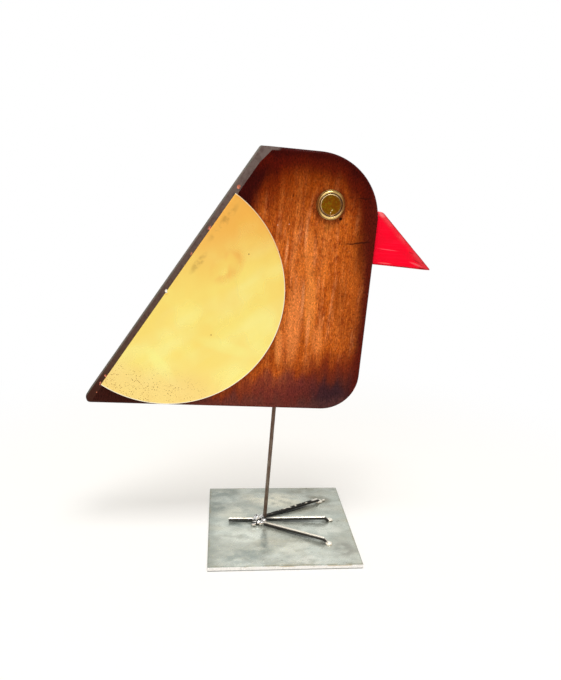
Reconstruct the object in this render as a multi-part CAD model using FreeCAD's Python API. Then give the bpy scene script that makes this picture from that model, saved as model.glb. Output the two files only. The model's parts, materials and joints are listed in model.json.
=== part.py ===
"""A one-legged bird on a square steel stand: a whirligig whose bird turns on its leg.

Frame: millimetres, +Z up, origin at the centre of the stand plate's underside. The bird looks along +X.
Its right side faces -Y and its left side faces +Y.

The bird's own pieces are drawn in the board's frame: x runs forward along the underside, z runs up the leg,
y = 0 is the middle of the board's thickness, and the origin is where the leg enters the underside.
"""

import FreeCAD, Part
import math
import os

V = FreeCAD.Vector

# ---- driving dimensions, mm and degrees ----

PLATE_SIZE = 120.0
PLATE_THICK = 4.0
PLATE_EDGE = 0.4          # broken edge round the plate's top and bottom

ROD = 3.2                 # one size of round bar for the leg and the toes
LEG_X = -12.4             # where the leg is welded down
LEG_Y = 5.0
LEG_LEAN = 2.4            # the leg leans forward
LEG_RISE = 107.2          # from the plate's top to the board's underside
LEG_IN_SOCKET = 50.0      # length of leg inside the board
LEG_TIP_CHAMFER = 0.4

BOARD_THICK = 22.0
BOARD_LENGTH_AHEAD = 65.0     # from the leg to the breast
BOARD_HEIGHT = 199.3          # from the underside to the crown
BACK_SLOPE = 58.2             # angle of the sloping back above the underside
TAIL_DROP = 2.8               # the underside falls away this much towards the tail
BREAST_RISE = 0.9             # and rises this much at the breast
CROWN_FALL = 0.7              # the crown falls this much towards the forehead
CROWN_BACK = -26.7            # x of the crown's rear corner
EDGE_ROUND = 2.5              # hand-sanded arris round the faces
HEAD_ROUND = 48.0
BREAST_ROUND = 29.5
TAIL_ROUND = 4.0
NAPE_ROUND = 0.8
BEVEL_WIDTH = 6.2             # bevel along the sloping back, measured on the face
BEVEL_DEPTH = 5.0             # and through the thickness
NAPE_FLARE_ALONG = 10.0       # near the crown the bevel flares out over this length
NAPE_FLARE_WIDTH = 10.5
NAPE_FLARE_DEPTH = 6.2

SLEEVE_WALL = 0.35
RUNNING_GAP = 0.05            # all round the leg inside its sleeve
SLEEVE_OVER_LEG = 3.0         # sleeve left above the leg's tip, where the ball sits
BALL = 3.2
BALL_GAP = 0.05

WING_R = 89.0
WING_THICK = 1.0
WING_OVERHANG = 1.4           # the straight edge stands past the bevel's arris
WING_CENTRE_DOWN = 126.9      # from the crown's rear corner down the back to the disc's centre
CENTRE_MARK_R = 1.0           # half of the hole that the disc was turned on
WING_PIN = 2.0
WING_PIN_LENGTH = 8.0
WING_PIN_PLACES = ((-52.0, 26.0), (52.0, 26.0), (0.0, 62.0))   # along and away from the straight edge

EYE_BEHIND_BREAST = 37.3
EYE_BELOW_CROWN = 37.6
EYE_BEAD_R = 9.5              # centre line of the ring's raised bead
EYE_BEAD = 1.1                # radius of the bead's section
EYE_BEAD_H = 2.0              # height of its centre line
EYE_RIM = 1.4                 # thin rim outside the bead
EYE_RIM_H = 1.0
EYE_LIP = 3.3                 # lip inside the bead, clamped under the stud's head
EYE_LIP_H = 0.8
EYE_HEAD_GAP = 0.45           # groove between the bead and the stud's head
EYE_HEAD_H = 2.5
EYE_HEAD_RIM = 0.7
EYE_DISH = 0.9                # depth of the dished face inside the head's rim
EYE_SEAT_GAP = 0.1            # between the ring's lip and the stud
EYE_ARRIS = 0.2
EYE_SHANK_R = 3.0
EYE_SHANK_LENGTH = 8.5

BEAK_THICK = 14.0
BEAK_LENGTH = 48.0
BEAK_BELOW_CROWN = 39.9       # the root's upper edge
BEAK_ROOT = 39.8              # height of the root
BEAK_COPE = 3.0               # the root is left this much too long, then coped to the breast's curve
BEAK_TIP_DROP = 1.7           # the tip lies this much below the root's lower edge
BEAK_BROW = 4.6               # flat at the top before the slope starts
BEAK_BROW_ROUND = 5.0
BEAK_TIP_ROUND = 0.5
BEAK_BEVEL = 3.0              # bevel along the slope, measured on the face
BEAK_BEVEL_DEPTH = 2.4
BEAK_UNDER = 0.8              # smaller one along the lower edge
DOWEL_R = 3.0
DOWEL_LENGTH = 28.0
DOWEL_UP = 15.7               # above the root's lower edge

TOE_SINK = 0.1                # the bars' roots are filed to lie this far into the plate's surface
TOES = {                      # root ahead of the leg and to its left, direction, length, rise to the far end
    "toe_middle": (1.2, -1.2, -3.4, 50.2, 2.0),
    "toe_right": (-1.0, -8.0, -29.7, 53.7, 1.5),
    "toe_left": (1.0, 3.2, 26.0, 53.6, 1.4),
    "toe_rear": (-1.5, -2.0, 179.6, 29.2, 0.5),
}
CLAW_REACH = 3.6              # from the knuckle to the claw's tip, level
CLAW_TIP_R = 0.9
TIP_BEAD_R = 2.1
TIP_BEAD_SINK = 0.7           # the bead's centre lies this far above the plate

WELD_BEADS = (                # ahead of the leg, to its left, height of centre above the plate, radius
    (-2.2, -1.2, 2.2, 2.8),
    (-6.6, -0.6, 2.4, 3.0),
    (-8.9, -4.2, 1.6, 2.7),
    (-9.8, -8.4, 1.0, 2.3),
    (-5.6, -6.4, 1.2, 2.6),
    (-3.0, -8.2, 1.3, 2.7),
    (-0.8, -4.4, 1.0, 2.8),
    (-0.9, 3.0, 1.2, 2.6),
)

# ---- what follows from them ----

ROD_R = ROD / 2
SLEEVE_BORE_R = ROD_R + RUNNING_GAP
SLEEVE_R = SLEEVE_BORE_R + SLEEVE_WALL
SOCKET_DEPTH = LEG_IN_SOCKET + BALL_GAP + BALL + BALL_GAP
SLEEVE_LENGTH = LEG_IN_SOCKET + SLEEVE_OVER_LEG
FACE = BOARD_THICK / 2
BACK_RUN = math.cos(math.radians(BACK_SLOPE))
BACK_RISE = math.sin(math.radians(BACK_SLOPE))
NAPE = V(CROWN_BACK, 0, BOARD_HEIGHT)
DOWN_BACK = V(-BACK_RUN, 0, -BACK_RISE)         # along the sloping back, towards the tail
INTO_BOARD = V(BACK_RISE, 0, -BACK_RUN)         # square to it, into the wood
TAIL = NAPE + DOWN_BACK * ((BOARD_HEIGHT + TAIL_DROP) / BACK_RISE)
WING_CENTRE = NAPE + DOWN_BACK * WING_CENTRE_DOWN + INTO_BOARD * (BEVEL_WIDTH - WING_OVERHANG)

LEG_FOOT = V(LEG_X, LEG_Y, PLATE_THICK)
LEG_AXIS = V(math.sin(math.radians(LEG_LEAN)), 0, math.cos(math.radians(LEG_LEAN)))
EYE_BEAD_OUTSIDE = EYE_BEAD_R + EYE_BEAD
EYE_BEAD_INSIDE = EYE_BEAD_R - EYE_BEAD
EYE_LIP_R = EYE_BEAD_INSIDE - EYE_LIP
BOARD_ORIGIN = LEG_FOOT + LEG_AXIS * (LEG_RISE / LEG_AXIS.z)
EYE_X = BOARD_LENGTH_AHEAD - EYE_BEHIND_BREAST
EYE_Z = BOARD_HEIGHT - EYE_BELOW_CROWN
BEAK_ROOT_TOP = BOARD_HEIGHT - BEAK_BELOW_CROWN
BEAK_ROOT_BOTTOM = BEAK_ROOT_TOP - BEAK_ROOT
FRONT_TOES = [name for name in TOES if name != "toe_rear"]
CUTTER = 700.0                                  # a block that reaches past the whole bird from any of its corners


# ---- helpers ----

def rounded_wire(corners):
    """Closed wire in the xz plane through corners (x, z, radius), each one rounded by a tangent arc."""
    edges = []
    starts, ends, mids = [], [], []
    count = len(corners)
    for i in range(count):
        x, z, radius = corners[i]
        here = V(x, 0, z)
        before = V(corners[i - 1][0], 0, corners[i - 1][1])
        after = V(corners[(i + 1) % count][0], 0, corners[(i + 1) % count][1])
        back, ahead = (before - here).normalize(), (after - here).normalize()
        half = back.getAngle(ahead) / 2
        reach = radius / math.tan(half)
        middle = (back + ahead).normalize()
        centre = here + middle * (radius / math.sin(half))
        starts.append(here + back * reach)
        ends.append(here + ahead * reach)
        mids.append(centre - middle * radius)
    for i in range(count):
        edges.append(Part.Arc(starts[i], mids[i], ends[i]).toShape())
        edges.append(Part.makeLine(ends[i], starts[(i + 1) % count]))
    return Part.Wire(edges)


def slab(wire, thick):
    """The wire's face, extruded to that thickness with y = 0 in its middle."""
    face = Part.Face(wire)
    face.translate(V(0, -thick / 2, 0))
    return face.extrude(V(0, thick, 0))


def block_beyond(a, b, c, outside):
    """A large block with one face on the plane through a, b and c, on the side where outside lies."""
    normal = (b - a).cross(c - a).normalize()
    if normal.dot(outside - a) < 0:
        normal = -normal
    block = Part.makeBox(CUTTER, CUTTER, CUTTER, V(-CUTTER / 2, -CUTTER / 2, 0))
    block.Placement = FreeCAD.Placement(a, FreeCAD.Rotation(V(0, 0, 1), normal))
    return block


def bevel(start, way, inward, depth, half, side):
    """What a bevel along the edge through start takes off one face; side is -1 for right and 1 for left."""
    across = V(0, side * half, 0)
    arris = start + inward + across
    edge = start + V(0, side * (half - depth), 0)
    return block_beyond(arris, arris + way, edge, start + across)


def rod_between(a, b, radius):
    return Part.makeCylinder(radius, (b - a).Length, a, b - a)


def turned(profile, x, z):
    """A solid of revolution about a line square to the board's right face, from (radius, height) points."""
    points = [V(r, h, 0) for r, h in profile]
    face = Part.Face(Part.makePolygon(points + points[:1]))
    solid = face.revolve(V(0, 0, 0), V(0, 1, 0), 360)
    solid.rotate(V(0, 0, 0), V(1, 0, 0), 180)
    solid.translate(V(x, -FACE, z))
    return solid


def left_copy(shape):
    """The same piece on the board's left face."""
    return shape.mirror(V(0, 0, 0), V(0, 1, 0))


def on_leg(shape):
    """From the board's frame to the stand's frame."""
    placed = shape.copy()
    placed.rotate(V(0, 0, 0), V(0, 1, 0), LEG_LEAN)
    placed.translate(BOARD_ORIGIN)
    return placed


def save(name, shape):
    solids = shape.Solids
    whole = solids[0] if len(solids) == 1 else Part.makeCompound(solids)
    if not whole.isValid():
        raise ValueError(name + " is not a valid solid")
    whole.exportStep(os.path.join("parts", name + ".step"))
    print(name, len(solids), "solid(s)", round(whole.Volume, 1), "mm3")


# ---- the bird's board ----

def board_outline():
    breast = BOARD_LENGTH_AHEAD
    top = BOARD_HEIGHT - CROWN_FALL
    return rounded_wire([
        (TAIL.x, TAIL.z, TAIL_ROUND),
        (NAPE.x, NAPE.z, NAPE_ROUND),
        (breast, top, HEAD_ROUND),
        (breast, BREAST_RISE, BREAST_ROUND),
    ])


def back_bevel(side):
    return bevel(NAPE, DOWN_BACK, INTO_BOARD * BEVEL_WIDTH, BEVEL_DEPTH, FACE, side)


def nape_flare(side):
    """Near the crown the bevel was sanded wider."""
    across = V(0, side * FACE, 0)
    start = NAPE + DOWN_BACK * NAPE_FLARE_ALONG + INTO_BOARD * BEVEL_WIDTH + across
    top = NAPE + V(NAPE_FLARE_WIDTH, 0, 0) + across
    edge = NAPE + V(0, side * (FACE - NAPE_FLARE_DEPTH), 0)
    return block_beyond(start, top, edge, NAPE + across)


def rounded_arrises(solid):
    """Rounds the edges of both faces, except along the sloping back, where the bevel goes."""
    edges = []
    for edge in solid.Edges:
        ends = [v.Point for v in edge.Vertexes]
        on_face = all(abs(abs(p.y) - FACE) < 1e-6 for p in ends)
        along_back = all(abs((p - NAPE).dot(INTO_BOARD)) < 1e-3 for p in ends)
        if on_face and not along_back:
            edges.append(edge)
    return solid.makeFillet(EDGE_ROUND, edges)


def wing_pin_points():
    return [WING_CENTRE - DOWN_BACK * along + INTO_BOARD * away for along, away in WING_PIN_PLACES]


def board():
    solid = rounded_arrises(slab(board_outline(), BOARD_THICK))
    for side in (-1, 1):
        solid = solid.cut([back_bevel(side), nape_flare(side), eye_shank(side)])
        solid = solid.cut([wing_pin(point, side) for point in wing_pin_points()])
    # the socket runs up from below the underside, which is not quite square to the leg
    socket = Part.makeCylinder(SLEEVE_R, SOCKET_DEPTH + TAIL_DROP, V(0, 0, -TAIL_DROP))
    return solid.cut([socket, beak_dowel()])


# ---- what turns with the board ----

def socket_sleeve():
    outer = Part.makeCylinder(SLEEVE_R, SLEEVE_LENGTH)
    bore = Part.makeCylinder(SLEEVE_BORE_R, SLEEVE_LENGTH)
    return outer.cut(bore)


def thrust_ball():
    return Part.makeSphere(BALL / 2, V(0, 0, LEG_IN_SOCKET + BALL_GAP + BALL / 2))


def wing():
    """The right wing: half of a disc of brass sheet, with half of its centre mark left in the cut edge."""
    centre = WING_CENTRE - V(0, FACE, 0)
    disc = Part.makeCylinder(WING_R, WING_THICK, centre, V(0, -1, 0))
    mark = Part.makeCylinder(CENTRE_MARK_R, WING_THICK, centre, V(0, -1, 0))
    cut_line = WING_CENTRE
    waste = block_beyond(cut_line, cut_line + DOWN_BACK, cut_line + V(0, 1, 0), cut_line - INTO_BOARD)
    return disc.cut(waste).cut(mark)


def wing_pin(point, side):
    """A pin from one face of the board inwards; side is -1 for right and 1 for left."""
    return Part.makeCylinder(WING_PIN / 2, WING_PIN_LENGTH, point + V(0, side * FACE, 0), V(0, -side, 0))


def eye_ring():
    """A turned brass ring: thin rim, stepped shoulder, raised bead, and a lip inside for the stud."""
    rim = EYE_BEAD_OUTSIDE + EYE_RIM
    bead = Part.makeTorus(EYE_BEAD_R, EYE_BEAD, V(EYE_X, -FACE - EYE_BEAD_H, EYE_Z), V(0, 1, 0))
    ring = turned([
        (EYE_LIP_R, 0),
        (rim, 0),
        (rim, EYE_RIM_H - EYE_ARRIS * 2),
        (rim - EYE_ARRIS * 2, EYE_RIM_H),
        (EYE_BEAD_OUTSIDE + EYE_RIM / 3, EYE_RIM_H + EYE_ARRIS),
        (EYE_BEAD_OUTSIDE, EYE_BEAD_H),
        (EYE_BEAD_INSIDE, EYE_BEAD_H),
        (EYE_BEAD_INSIDE, EYE_LIP_H),
        (EYE_LIP_R, EYE_LIP_H),
    ], EYE_X, EYE_Z)
    return ring.fuse(bead).removeSplitter()


def eye_stud():
    """A turned stud whose dished head clamps the ring's lip and whose shank is driven into the board."""
    head_r = EYE_BEAD_INSIDE - EYE_HEAD_GAP
    rim_inside = head_r - EYE_HEAD_RIM
    dish = EYE_HEAD_H - EYE_DISH
    neck = EYE_LIP_R - EYE_SEAT_GAP
    head = turned([
        (0, 0),
        (neck, 0),
        (neck, EYE_LIP_H),
        (head_r, EYE_LIP_H),
        (head_r, EYE_HEAD_H - EYE_ARRIS),
        (head_r - EYE_ARRIS, EYE_HEAD_H),
        (rim_inside + EYE_ARRIS, EYE_HEAD_H),
        (rim_inside - EYE_ARRIS, dish),
        (0, dish - EYE_ARRIS),
    ], EYE_X, EYE_Z)
    return head.fuse(eye_shank(-1)).removeSplitter()


def eye_shank(side):
    """The stud's shank in one face of the board; side is -1 for right and 1 for left."""
    return Part.makeCylinder(EYE_SHANK_R, EYE_SHANK_LENGTH, V(EYE_X, side * FACE, EYE_Z), V(0, -side, 0))


def beak():
    """A wedge glued edge-on to the breast, bevelled along its slope and less along its lower edge."""
    root = BOARD_LENGTH_AHEAD
    low, top = V(root, 0, BEAK_ROOT_BOTTOM), V(root, 0, BEAK_ROOT_TOP)
    brow = top + V(BEAK_BROW, 0, -0.2)
    tip = V(root + BEAK_LENGTH, 0, BEAK_ROOT_BOTTOM - BEAK_TIP_DROP)
    solid = slab(rounded_wire([
        (low.x - BEAK_COPE, low.z, 0.1),
        (top.x - BEAK_COPE, top.z, 0.1),
        (brow.x, brow.z, BEAK_BROW_ROUND),
        (tip.x, tip.z, BEAK_TIP_ROUND),
    ]), BEAK_THICK)
    slope, under = tip - brow, tip - low
    into_slope = V(0, 1, 0).cross(slope).normalize()
    into_under = under.cross(V(0, 1, 0)).normalize()
    half = BEAK_THICK / 2
    for side in (-1, 1):
        solid = solid.cut(bevel(brow, slope, into_slope * BEAK_BEVEL, BEAK_BEVEL_DEPTH, half, side))
        solid = solid.cut(bevel(low, under, into_under * BEAK_UNDER, BEAK_UNDER, half, side))
    return solid.cut([slab(board_outline(), BOARD_THICK), beak_dowel()])


def beak_dowel():
    """Half of its length is in the beak and half in the board."""
    start = V(BOARD_LENGTH_AHEAD - DOWEL_LENGTH / 2, 0, BEAK_ROOT_BOTTOM + DOWEL_UP)
    return Part.makeCylinder(DOWEL_R, DOWEL_LENGTH, start, V(1, 0, 0))


# ---- the stand ----

def base_plate():
    half = PLATE_SIZE / 2
    plate = Part.makeBox(PLATE_SIZE, PLATE_SIZE, PLATE_THICK, V(-half, -half, 0))
    return plate.makeChamfer(PLATE_EDGE, plate.Edges)


def below_plate_top():
    return Part.makeBox(CUTTER, CUTTER, CUTTER, V(-CUTTER / 2, -CUTTER / 2, PLATE_THICK - CUTTER))


def leg_rod():
    """Straight round bar, cut level where it is welded to the plate."""
    start = LEG_FOOT - LEG_AXIS * ROD
    end = BOARD_ORIGIN + LEG_AXIS * LEG_IN_SOCKET
    bar = rod_between(start, end, ROD_R)
    rim = [edge for edge in bar.Edges if len(edge.Vertexes) == 1 and (edge.CenterOfMass - end).Length < 1e-3]
    return bar.makeChamfer(LEG_TIP_CHAMFER, rim).cut(below_plate_top())


def toe_path(ahead, left, direction, length, rise):
    """Root, far end and claw tip of a toe, on the bar's centre line."""
    way = V(math.cos(math.radians(direction)), math.sin(math.radians(direction)), 0)
    root = LEG_FOOT + V(ahead, left, ROD_R - TOE_SINK)
    end = root + way * length + V(0, 0, rise)
    tip = V(end.x, end.y, PLATE_THICK + CLAW_TIP_R) + way * CLAW_REACH
    return root, end, tip


def front_toe(name):
    """A bar that rises to its knuckle and turns down to a ground claw."""
    root, knuckle, tip = toe_path(*TOES[name])
    bar = rod_between(root, knuckle, ROD_R)
    joint = Part.makeSphere(ROD_R, knuckle)
    claw = Part.makeCone(ROD_R, CLAW_TIP_R, (tip - knuckle).Length, knuckle, tip - knuckle)
    point = Part.makeSphere(CLAW_TIP_R, tip)
    return bar.fuse([joint, claw, point]).cut(below_plate_top())


def rear_toe():
    root, end, _ = toe_path(*TOES["toe_rear"])
    return rod_between(root, end, ROD_R).cut(below_plate_top())


def tip_bead(name):
    """A bead of weld that tacks a claw's tip to the plate."""
    tip = toe_path(*TOES[name])[2]
    return Part.makeSphere(TIP_BEAD_R, V(tip.x, tip.y, PLATE_THICK + TIP_BEAD_SINK))


def foot_weld():
    """The run of weld beads that joins the leg and the toes to the plate."""
    beads = [Part.makeSphere(radius, LEG_FOOT + V(ahead, left, height))
             for ahead, left, height, radius in WELD_BEADS]
    return beads[0].fuse(beads[1:])


def main():
    os.makedirs("parts", exist_ok=True)

    # each bar is filed to fit against the leg and the bars laid before it
    leg = leg_rod()
    laid = [leg]
    toes = {}
    for name in TOES:
        bar = rear_toe() if name == "toe_rear" else front_toe(name)
        toes[name] = max(bar.cut(laid).Solids, key=lambda solid: solid.Volume)
        laid.append(toes[name])
    beads = [tip_bead(name).cut(below_plate_top()).cut(toes[name]) for name in FRONT_TOES]
    weld = foot_weld().cut(below_plate_top()).cut(laid)

    save("base_plate", base_plate())
    save("leg_rod", leg)
    for name, toe in toes.items():
        save(name, toe)
    save("foot_weld", weld)
    save("claw_welds", Part.makeCompound([solid for bead in beads for solid in bead.Solids]))

    right_wing = wing()
    right_pins = Part.makeCompound([wing_pin(point, -1) for point in wing_pin_points()])
    right_ring, right_stud = eye_ring(), eye_stud()
    save("body_board", on_leg(board()))
    save("socket_sleeve", on_leg(socket_sleeve()))
    save("thrust_ball", on_leg(thrust_ball()))
    save("wing_right", on_leg(right_wing))
    save("wing_left", on_leg(left_copy(right_wing)))
    save("wing_pins_right", on_leg(right_pins))
    save("wing_pins_left", on_leg(left_copy(right_pins)))
    save("eye_ring_right", on_leg(right_ring))
    save("eye_ring_left", on_leg(left_copy(right_ring)))
    save("eye_stud_right", on_leg(right_stud))
    save("eye_stud_left", on_leg(left_copy(right_stud)))
    save("beak", on_leg(beak()))
    save("beak_dowel", on_leg(beak_dowel()))
    print("swivel at", [round(c, 4) for c in BOARD_ORIGIN], "axis", [round(c, 6) for c in LEG_AXIS])


main()
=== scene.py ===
# %% [markdown]
# # A wooden bird on one steel leg
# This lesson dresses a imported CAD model: a flat wooden bird with brass wings that turns on a thin steel
# leg. The CAD gives every piece its place and size. Blender gives the surfaces: stained wood, brass sheet,
# turned brass, brushed enamel, mill scale, drawn bar and weld. Everything is in metres, in the CAD's frame.

import json
import math

import bmesh
import bpy
from mathutils import Euler, Matrix, Vector, noise


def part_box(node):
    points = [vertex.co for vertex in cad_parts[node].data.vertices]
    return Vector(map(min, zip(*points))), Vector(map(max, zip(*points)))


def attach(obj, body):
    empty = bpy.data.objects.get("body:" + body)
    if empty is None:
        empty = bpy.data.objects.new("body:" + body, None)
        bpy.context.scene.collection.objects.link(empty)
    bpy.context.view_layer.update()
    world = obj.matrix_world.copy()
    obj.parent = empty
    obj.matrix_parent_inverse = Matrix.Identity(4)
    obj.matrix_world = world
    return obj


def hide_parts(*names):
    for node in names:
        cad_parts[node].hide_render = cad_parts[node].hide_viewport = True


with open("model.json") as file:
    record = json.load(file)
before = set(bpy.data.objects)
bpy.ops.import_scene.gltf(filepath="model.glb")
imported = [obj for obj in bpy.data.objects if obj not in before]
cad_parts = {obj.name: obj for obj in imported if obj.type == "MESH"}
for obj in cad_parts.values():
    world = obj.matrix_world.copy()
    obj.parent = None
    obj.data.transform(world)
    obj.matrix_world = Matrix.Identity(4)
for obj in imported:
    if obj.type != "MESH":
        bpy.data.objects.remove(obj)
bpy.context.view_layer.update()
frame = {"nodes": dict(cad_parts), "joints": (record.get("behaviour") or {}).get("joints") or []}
nodes = frame["nodes"]
MM = 0.001

# %% [markdown]
# ## The board's own frame
# The bird leans with its leg, so its grain, its shading and its fittings are easier to describe in the
# board's own frame: x forward along the underside, y across, z up the leg, in millimetres, with the origin
# where the leg enters. The swivel joint says where that is and how far it leans, so both are read from it.

# %% The board's frame
swivel = frame["joints"][0]
SOCKET = Vector(swivel["pos_m"])
LEAN = math.atan2(swivel["axis"][0], swivel["axis"][2])
TO_WORLD = Matrix.Translation(SOCKET) @ Euler((0, LEAN, 0)).to_matrix().to_4x4() @ Matrix.Scale(MM, 4)
board_low, board_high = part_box("body_board")
FACE = (board_high.y - board_low.y) / 2 / MM     # mm, half of the board's thickness

BREAST, CROWN, UNDERSIDE = 65.0, 198.7, -0.2     # mm, the board's straight edges
NAPE = Vector((-26.7, 0, 199.3))                 # where the sloping back meets the crown
SLOPE = math.radians(58.2)
DOWN_BACK = Vector((-math.cos(SLOPE), 0, -math.sin(SLOPE)))
INTO_BOARD = Vector((math.sin(SLOPE), 0, -math.cos(SLOPE)))
HEAD_ROUND = 48.0                                # radius of the head's corner
BEVEL_WIDTH, BEVEL_DEPTH = 6.2, 5.0
WING_DOWN_BACK, WING_OVER_BEVEL = 126.9, 1.4     # the disc's centre from the nape, and how far it overhangs
WING_CENTRE = NAPE + DOWN_BACK * WING_DOWN_BACK + INTO_BOARD * (BEVEL_WIDTH - WING_OVER_BEVEL)
print("leg enters at", tuple(SOCKET), "lean", round(math.degrees(LEAN), 2), "degrees")
print("half thickness", round(FACE, 2), "mm")

# %% [markdown]
# ## Colours and nodes
# Colours are written as the sRGB hex values that a paint chart would give. Shaders work in linear light, so
# one function converts them. One more function adds a shader node together with its settings and its
# inputs: an input can be a number, a vector, a hex colour or another node's output.

# %% Colours and nodes
def linear(hex_colour):
    """An sRGB hex colour as linear RGBA."""
    channels = [int(hex_colour[i:i + 2], 16) / 255 for i in (1, 3, 5)]
    return [c / 12.92 if c <= 0.04045 else ((c + 0.055) / 1.055) ** 2.4 for c in channels] + [1.0]


def add(tree, kind, inputs=(), output=0, **settings):
    """Adds a shader node; its inputs come in order or by name, and one of its outputs is given back."""
    made = tree.nodes.new("ShaderNode" + kind)
    for name, value in settings.items():
        setattr(made, name, value)
    for name, value in (inputs.items() if isinstance(inputs, dict) else enumerate(inputs)):
        if isinstance(value, bpy.types.NodeSocket):
            tree.links.new(value, made.inputs[name])
        else:
            made.inputs[name].default_value = linear(value) if isinstance(value, str) else value
    return made.outputs[output] if made.outputs else None


SOFT = {"interpolation_type": "SMOOTHSTEP"}      # Map Range eases in and out, like a wiped edge
print("mid grey #808080 is", round(linear("#808080")[0], 3), "in linear light")


def finish(name, paint, in_board=True):
    """A material: paint(tree, place) gives the sockets of its Principled shader; place is in mm."""
    material = bpy.data.materials.new(name)
    material.use_nodes = True
    tree = material.node_tree
    tree.nodes.clear()
    at_rest = add(tree, "TexCoord", output=3)
    origin, lean = (SOCKET, LEAN) if in_board else ((0, 0, 0), 0)
    place = add(tree, "Mapping", (at_rest, origin, (0, lean, 0), (MM, MM, MM)), vector_type="TEXTURE")
    shader = add(tree, "BsdfPrincipled", paint(tree, place))
    add(tree, "OutputMaterial", (shader,))
    print("finish:", name, "with", len(tree.nodes), "nodes")
    return material


def dress(material, *names):
    """Gives CAD nodes their finish."""
    for name in names:
        nodes[name].data.materials.clear()
        nodes[name].data.materials.append(material)
    print(material.name, "on", ", ".join(names))


# %% [markdown]
# ## Coats and patches
# A finish is a base colour with coats over it. Each coat has a colour, a strength and any number of masks,
# which are multiplied. A mask is a pattern, or a distance with two limits: the coat is whole at the first
# and has faded out at the second. Three patterns come back again and again, all in real millimetres: a
# patch, which is a noise stretched along each axis and cut to a soft edge; round spots, one to a cell; and
# a single mark. Three distances do too: past a line, from an axis through the board, and inside a corner.

# %% Coats and patches
def coats(tree, colour, *layers):
    """Lays coats, each (hex colour, strength, mask, mask ...), over a colour.

    A mask is a socket or (distance, where the coat is whole, where it is gone)."""
    for coat, strength, *masks in layers:
        cover = strength
        for mask in masks:
            if isinstance(mask, tuple):
                mask = add(tree, "MapRange", (*mask, 1.0, 0.0), **SOFT)
            cover = add(tree, "Math", (cover, mask), operation="MULTIPLY")
        colour = add(tree, "Mix", {0: cover, 6: colour, 7: coat}, 2, data_type="RGBA")
    return colour


def patches(tree, place, size, low, high, seed=0.0, detail=3.0, warp=0.0):
    """Patches of that size in mm (x, y, z): 0 where the noise is under low, 1 over high."""
    stretched = add(tree, "Mapping", (place, (seed, seed, seed), (0, 0, 0), [1 / s for s in size]))
    cloud = add(tree, "TexNoise", {"Vector": stretched, "Scale": 1.0, "Detail": detail, "Distortion": warp})
    return add(tree, "MapRange", (cloud, low, high), **SOFT)


def spots(tree, place, pitch, radius, share, seed=0.0):
    """Round spots of that radius, one in each cell of that pitch, kept in that share of the cells."""
    moved = add(tree, "VectorMath", (place, (seed, seed, seed)), operation="ADD")
    near = add(tree, "TexVoronoi", {"Vector": moved, "Scale": 1 / pitch})
    chance = add(tree, "SeparateColor", (near.node.outputs["Color"],))
    kept = add(tree, "Math", (chance, share), operation="LESS_THAN")
    spot = add(tree, "MapRange", (near, radius * 0.6 / pitch, radius / pitch, 1.0, 0.0), **SOFT)
    return add(tree, "Math", (spot, kept), operation="MULTIPLY")


OVAL_WHOLE, OVAL_GONE = 0.35, 1.0                # where an oval mark starts to fade, and its outline
THROUGH = 1000                                   # mm, far more than any thickness
print("an oval mark is whole out to", OVAL_WHOLE, "of its half size")


def oval(tree, place, middle, turn, half_sizes):
    """Distance from the middle of an oval, 1 at its outline."""
    lying = add(tree, "Mapping", (place, middle, turn, half_sizes), vector_type="TEXTURE")
    return add(tree, "VectorMath", (lying,), 1, operation="LENGTH")


def mark(tree, place, start, end, width):
    """One thin mark through the board's thickness, from start to end, both (x, z)."""
    along = Vector((end[0] - start[0], 0, end[1] - start[1]))
    middle = Vector((start[0], 0, start[1])) + along / 2
    turn = (0, -math.atan2(along.z, along.x), 0)
    out = oval(tree, place, middle, turn, (along.length / 2, THROUGH, width / 2))
    return add(tree, "MapRange", (out, OVAL_WHOLE, OVAL_GONE, 1.0, 0.0), **SOFT)


def past_line(tree, place, point, normal):
    """Distance from a line on the face, growing along its normal."""
    along = add(tree, "VectorMath", (place, normal), 1, operation="DOT_PRODUCT")
    return add(tree, "Math", (along, point.dot(normal)), operation="SUBTRACT")


def from_axis(tree, place, axis):
    """Distance from an axis through the board's thickness."""
    flat = add(tree, "VectorMath", (place, (1, 0, 1)), operation="MULTIPLY")
    return add(tree, "VectorMath", (flat, axis), 1, operation="DISTANCE")


def looks_up(tree):
    """How far a face looks upwards, from -1 to 1."""
    return add(tree, "SeparateXYZ", (add(tree, "NewGeometry", output="Normal"),), 2)


def inside_corner(tree, place, centre, outward, radius):
    """Distance inside two edges and the round corner between them; outward points to the corner."""
    from_centre = add(tree, "VectorMath", (place, centre), operation="SUBTRACT")
    faced = add(tree, "VectorMath", (from_centre, (outward[0], 0, outward[1])), operation="MULTIPLY")
    beyond = add(tree, "VectorMath", (faced, (0, 0, 0)), operation="MAXIMUM")
    out = add(tree, "VectorMath", (beyond,), 1, operation="LENGTH")
    return add(tree, "Math", (radius, out), operation="SUBTRACT")


# %% [markdown]
# ## Stained mahogany, shaded to the edges
# The body is one thick board, sawn so that its grain stands upright, stained orange-brown and then shaded
# almost black towards its edges, under a satin varnish. A picture of wood could be wrapped on it, but its
# edges and its far side would need one too. Here the wood is drawn in the solid, so every side agrees.
# Each kind of streak is a noise far longer than it is wide: growth bands about 10 mm apart, streaks 2.4 mm
# apart, and pores, really 0.2 mm wide, drawn 0.7 mm wide so that they show. Single marks, laid over these,
# stand for the growth bands and streaks that this one board has.

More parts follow.
